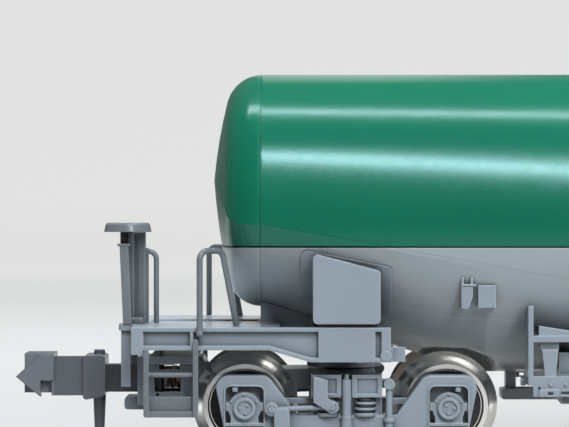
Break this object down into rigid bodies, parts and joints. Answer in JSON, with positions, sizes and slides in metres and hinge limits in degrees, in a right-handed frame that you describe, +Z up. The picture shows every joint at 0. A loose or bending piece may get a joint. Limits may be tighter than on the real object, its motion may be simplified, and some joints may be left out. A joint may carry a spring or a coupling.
{
  "type": "model railway tank car",
  "caption": "Small-scale model of a bogie tank car: green upper and grey lower tank with pressed heads, end frames, swivelling bogies, turning wheelsets and swinging couplers.",
  "frame": {"origin": "centre of the car on the plane of the wheel flanges' lowest points", "axes": "+X along the car to the end with no hand brake, +Y across, +Z up"},
  "size_m": [0.101, 0.0208, 0.0265],
  "materials": {
    "tank_green": "gloss",
    "tank_grey": "satin",
    "frame_grey": "satin",
    "wheel_metal": "polished",
    "axle_black": "satin",
    "spring_copper": "bright",
    "weight_steel": "plain"
  },
  "bodies": {
    "car": {"air_tank": "frame_grey", "brake_cylinder": "frame_grey", "brake_stand": "frame_grey", "brake_wheel": "frame_grey", "card_holder_l": "frame_grey", "card_holder_r": "frame_grey", "centre_frame": "frame_grey", "end_frame_a": "frame_grey", "end_frame_b": "frame_grey", "end_rail_a": "frame_grey", "handrail_al": "frame_grey", "handrail_ar": "frame_grey", "handrail_bl": "frame_grey", "handrail_br": "frame_grey", "ladder_l": "frame_grey", "ladder_r": "frame_grey", "manhole": "tank_grey", "manhole_lid": "tank_grey", "outlet_valve": "frame_grey", "saddle_al": "tank_grey", "saddle_ar": "tank_grey", "saddle_bl": "tank_grey", "saddle_br": "tank_grey", "safety_valve": "frame_grey", "side_plate_l": "frame_grey", "side_plate_r": "frame_grey", "step_al": "frame_grey", "step_ar": "frame_grey", "step_bl": "frame_grey", "step_br": "frame_grey", "tank_lower": "tank_grey", "tank_upper": "tank_green", "walkway_l": "frame_grey", "walkway_r": "frame_grey", "weight": "weight_steel"},
    "wheelset_1": {"axle_1": "axle_black", "wheel_1l": "wheel_metal", "wheel_1r": "wheel_metal"},
    "wheelset_2": {"axle_2": "axle_black", "wheel_2l": "wheel_metal", "wheel_2r": "wheel_metal"},
    "wheelset_3": {"axle_3": "axle_black", "wheel_3l": "wheel_metal", "wheel_3r": "wheel_metal"},
    "wheelset_4": {"axle_4": "axle_black", "wheel_4l": "wheel_metal", "wheel_4r": "wheel_metal"},
    "bogie_a": {"bogie_a": "frame_grey", "spring_a": "spring_copper"},
    "bogie_b": {"bogie_b": "frame_grey", "spring_b": "spring_copper"},
    "coupler_a": {"coupler_a": "frame_grey"},
    "coupler_b": {"coupler_b": "frame_grey"}
  },
  "joints": [
    {"name": "bogie_a_swivel", "type": "hinge", "parent": "car", "child": "bogie_a", "pos_m": [-0.02925, 0, 0.00545], "axis": [0, 0, 1], "range_deg": [-10, 10]},
    {"name": "coupler_a_swing", "type": "hinge", "parent": "bogie_a", "child": "coupler_a", "pos_m": [-0.0413, 0, 0.00475], "axis": [0, 0, 1], "range_deg": [-8, 8]},
    {"name": "bogie_b_swivel", "type": "hinge", "parent": "car", "child": "bogie_b", "pos_m": [0.02925, 0, 0.00545], "axis": [0, 0, 1], "range_deg": [-10, 10]},
    {"name": "coupler_b_swing", "type": "hinge", "parent": "bogie_b", "child": "coupler_b", "pos_m": [0.0413, 0, 0.00475], "axis": [0, 0, 1], "range_deg": [-8, 8]},
    {"name": "wheelset_1_spin", "type": "hinge", "parent": "bogie_a", "child": "wheelset_1", "pos_m": [-0.0356, 0, 0.00335], "axis": [0, 1, 0], "continuous": true},
    {"name": "wheelset_2_spin", "type": "hinge", "parent": "bogie_a", "child": "wheelset_2", "pos_m": [-0.0229, 0, 0.00335], "axis": [0, 1, 0], "continuous": true},
    {"name": "wheelset_3_spin", "type": "hinge", "parent": "bogie_b", "child": "wheelset_3", "pos_m": [0.0229, 0, 0.00335], "axis": [0, 1, 0], "continuous": true},
    {"name": "wheelset_4_spin", "type": "hinge", "parent": "bogie_b", "child": "wheelset_4", "pos_m": [0.0356, 0, 0.00335], "axis": [0, 1, 0], "continuous": true}
  ]
}
